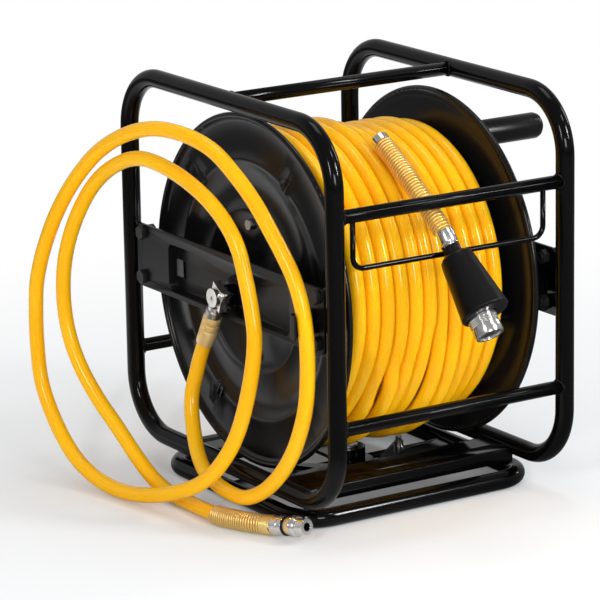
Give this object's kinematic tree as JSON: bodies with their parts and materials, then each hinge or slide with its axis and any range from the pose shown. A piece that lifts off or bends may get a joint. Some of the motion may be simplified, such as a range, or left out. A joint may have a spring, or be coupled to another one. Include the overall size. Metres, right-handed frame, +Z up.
{
  "type": "hose reel",
  "caption": "Portable hand-wound hose reel in a black tubular cage that turns on a low swivel base, with a yellow hose, a crank and a parked quick coupler.",
  "frame": {"origin": "on the swivel's axis at floor level", "axes": "+X along the drum's axle towards the crank, -Y towards the front, +Z up"},
  "size_m": [0.5091, 0.4832, 0.4255],
  "materials": {
    "frame_black": "gloss black powder coat",
    "panel_black": "satin black paint",
    "drum_grey": "satin dark grey paint",
    "black_fixings": "blackened steel",
    "zinc": "zinc plated",
    "nickel": "nickel plated",
    "spring_steel": "bright spring wire",
    "brass": "satin brass",
    "hose_yellow": "smooth semi-gloss",
    "shroud_black": "matte black",
    "grip_black": "satin black"
  },
  "bodies": {
    "base": {"base_hoop": "frame_black", "base_crossbar": "frame_black", "pivot_bolt": "zinc", "pivot_nut": "zinc", "pivot_bush": "brass", "thrust_washer": "zinc"},
    "cage": {"left_hoop": "frame_black", "right_hoop": "frame_black", "top_bar": "frame_black", "front_upper_bar": "frame_black", "front_lower_bar": "frame_black", "rear_lower_bar": "frame_black", "wire_rest": "frame_black", "front_channel": "frame_black", "rear_channel": "frame_black", "swivel_plate": "frame_black", "pivot_hub": "frame_black", "lock_barrel": "zinc", "left_panel": "panel_black", "right_panel": "panel_black", "left_panel_bolts": "black_fixings", "right_panel_bolts": "black_fixings", "left_bearing": "zinc", "right_bearing": "zinc", "inlet_bracket": "frame_black", "elbow_body": "nickel", "elbow_screw": "nickel", "inlet_collar": "zinc", "inlet_ferrule": "brass", "leader_hose": "hose_yellow", "leader_guard": "spring_steel", "leader_ferrule": "nickel", "leader_nipple": "nickel", "outlet_hose": "hose_yellow", "outlet_guard": "spring_steel", "outlet_upper_ferrule": "nickel", "outlet_lower_ferrule": "nickel", "coupler_shroud": "shroud_black", "coupler_body": "nickel"},
    "drum": {"left_flange": "drum_grey", "right_flange": "drum_grey", "left_hub": "drum_grey", "right_hub": "drum_grey", "drum_barrel": "drum_grey", "inner_hose": "hose_yellow", "wound_hose": "hose_yellow", "hose_clips": "drum_grey", "axle": "zinc", "inlet_spindle": "nickel", "tie_rods": "zinc", "crank_boss": "frame_black", "crank_arm": "frame_black", "crank_nut": "zinc", "grip_spindle": "zinc"},
    "grip": {"grip": "grip_black"},
    "lock_pin": {"lock_pin": "zinc", "lock_ring": "zinc", "lock_spring": "zinc"},
    "coupler_sleeve": {"coupler_sleeve": "nickel"}
  },
  "joints": [
    {"name": "swivel", "type": "hinge", "parent": "base", "child": "cage", "pos_m": [0, 0, 0], "axis": [0, 0, 1], "continuous": true},
    {"name": "drum_spin", "type": "hinge", "parent": "cage", "child": "drum", "pos_m": [0, 0, 0.216], "axis": [1, 0, 0], "continuous": true},
    {"name": "grip_spin", "type": "hinge", "parent": "drum", "child": "grip", "pos_m": [0.2, 0, 0.342], "axis": [1, 0, 0], "continuous": true},
    {"name": "lock_lift", "type": "slide", "parent": "cage", "child": "lock_pin", "axis": [0, 0, 1], "range_m": [0, 0.005], "stiffness_N_per_m": 400, "springref_m": -0.008, "deforming": ["lock_spring"]},
    {"name": "sleeve_pull", "type": "slide", "parent": "cage", "child": "coupler_sleeve", "axis": [-0.026, 0.6262, 0.7792], "range_m": [0, 0.0045], "stiffness_N_per_m": 600, "springref_m": -0.006}
  ]
}
